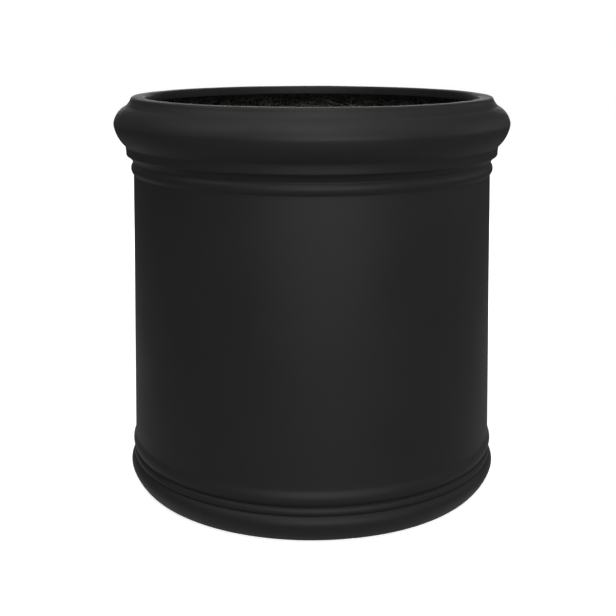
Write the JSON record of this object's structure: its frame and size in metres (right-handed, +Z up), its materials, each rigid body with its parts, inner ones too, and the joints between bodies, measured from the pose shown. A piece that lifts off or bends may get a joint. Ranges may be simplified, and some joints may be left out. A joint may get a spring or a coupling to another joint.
{
  "type": "round floor planter",
  "caption": "Straight round planter in black glass-fibre laminate with a hollow rolled rim, beaded and rolled base, bonded-in floor and lift-out drain bungs.",
  "frame": {"origin": "on the ground, in the middle of the circle of foot pads", "axes": "+Z up along the planter's axis; it is round, so +X and +Y are free, and a drain bung lies at 45 degrees between them"},
  "size_m": [0.61, 0.61, 0.61],
  "materials": {
    "black_gelcoat": "satin",
    "raw_laminate": "matte",
    "bung_rubber": "matte",
    "pad_rubber": "matte"
  },
  "bodies": {
    "planter": {"wall_shell": "black_gelcoat", "floor_panel": "raw_laminate", "floor_bond": "raw_laminate", "foot_pad_1": "pad_rubber", "foot_pad_2": "pad_rubber", "foot_pad_3": "pad_rubber", "foot_pad_4": "pad_rubber", "foot_pad_5": "pad_rubber", "foot_pad_6": "pad_rubber"},
    "bung_1": {"drain_bung_1": "bung_rubber"},
    "bung_2": {"drain_bung_2": "bung_rubber"},
    "bung_3": {"drain_bung_3": "bung_rubber"},
    "bung_4": {"drain_bung_4": "bung_rubber"}
  },
  "joints": [
    {"name": "bung_1_lift", "type": "slide", "parent": "planter", "child": "bung_1", "axis": [0, 0, 1], "range_m": [0, 0.62]},
    {"name": "bung_2_lift", "type": "slide", "parent": "planter", "child": "bung_2", "axis": [0, 0, 1], "range_m": [0, 0.62]},
    {"name": "bung_3_lift", "type": "slide", "parent": "planter", "child": "bung_3", "axis": [0, 0, 1], "range_m": [0, 0.62]},
    {"name": "bung_4_lift", "type": "slide", "parent": "planter", "child": "bung_4", "axis": [0, 0, 1], "range_m": [0, 0.62]}
  ]
}
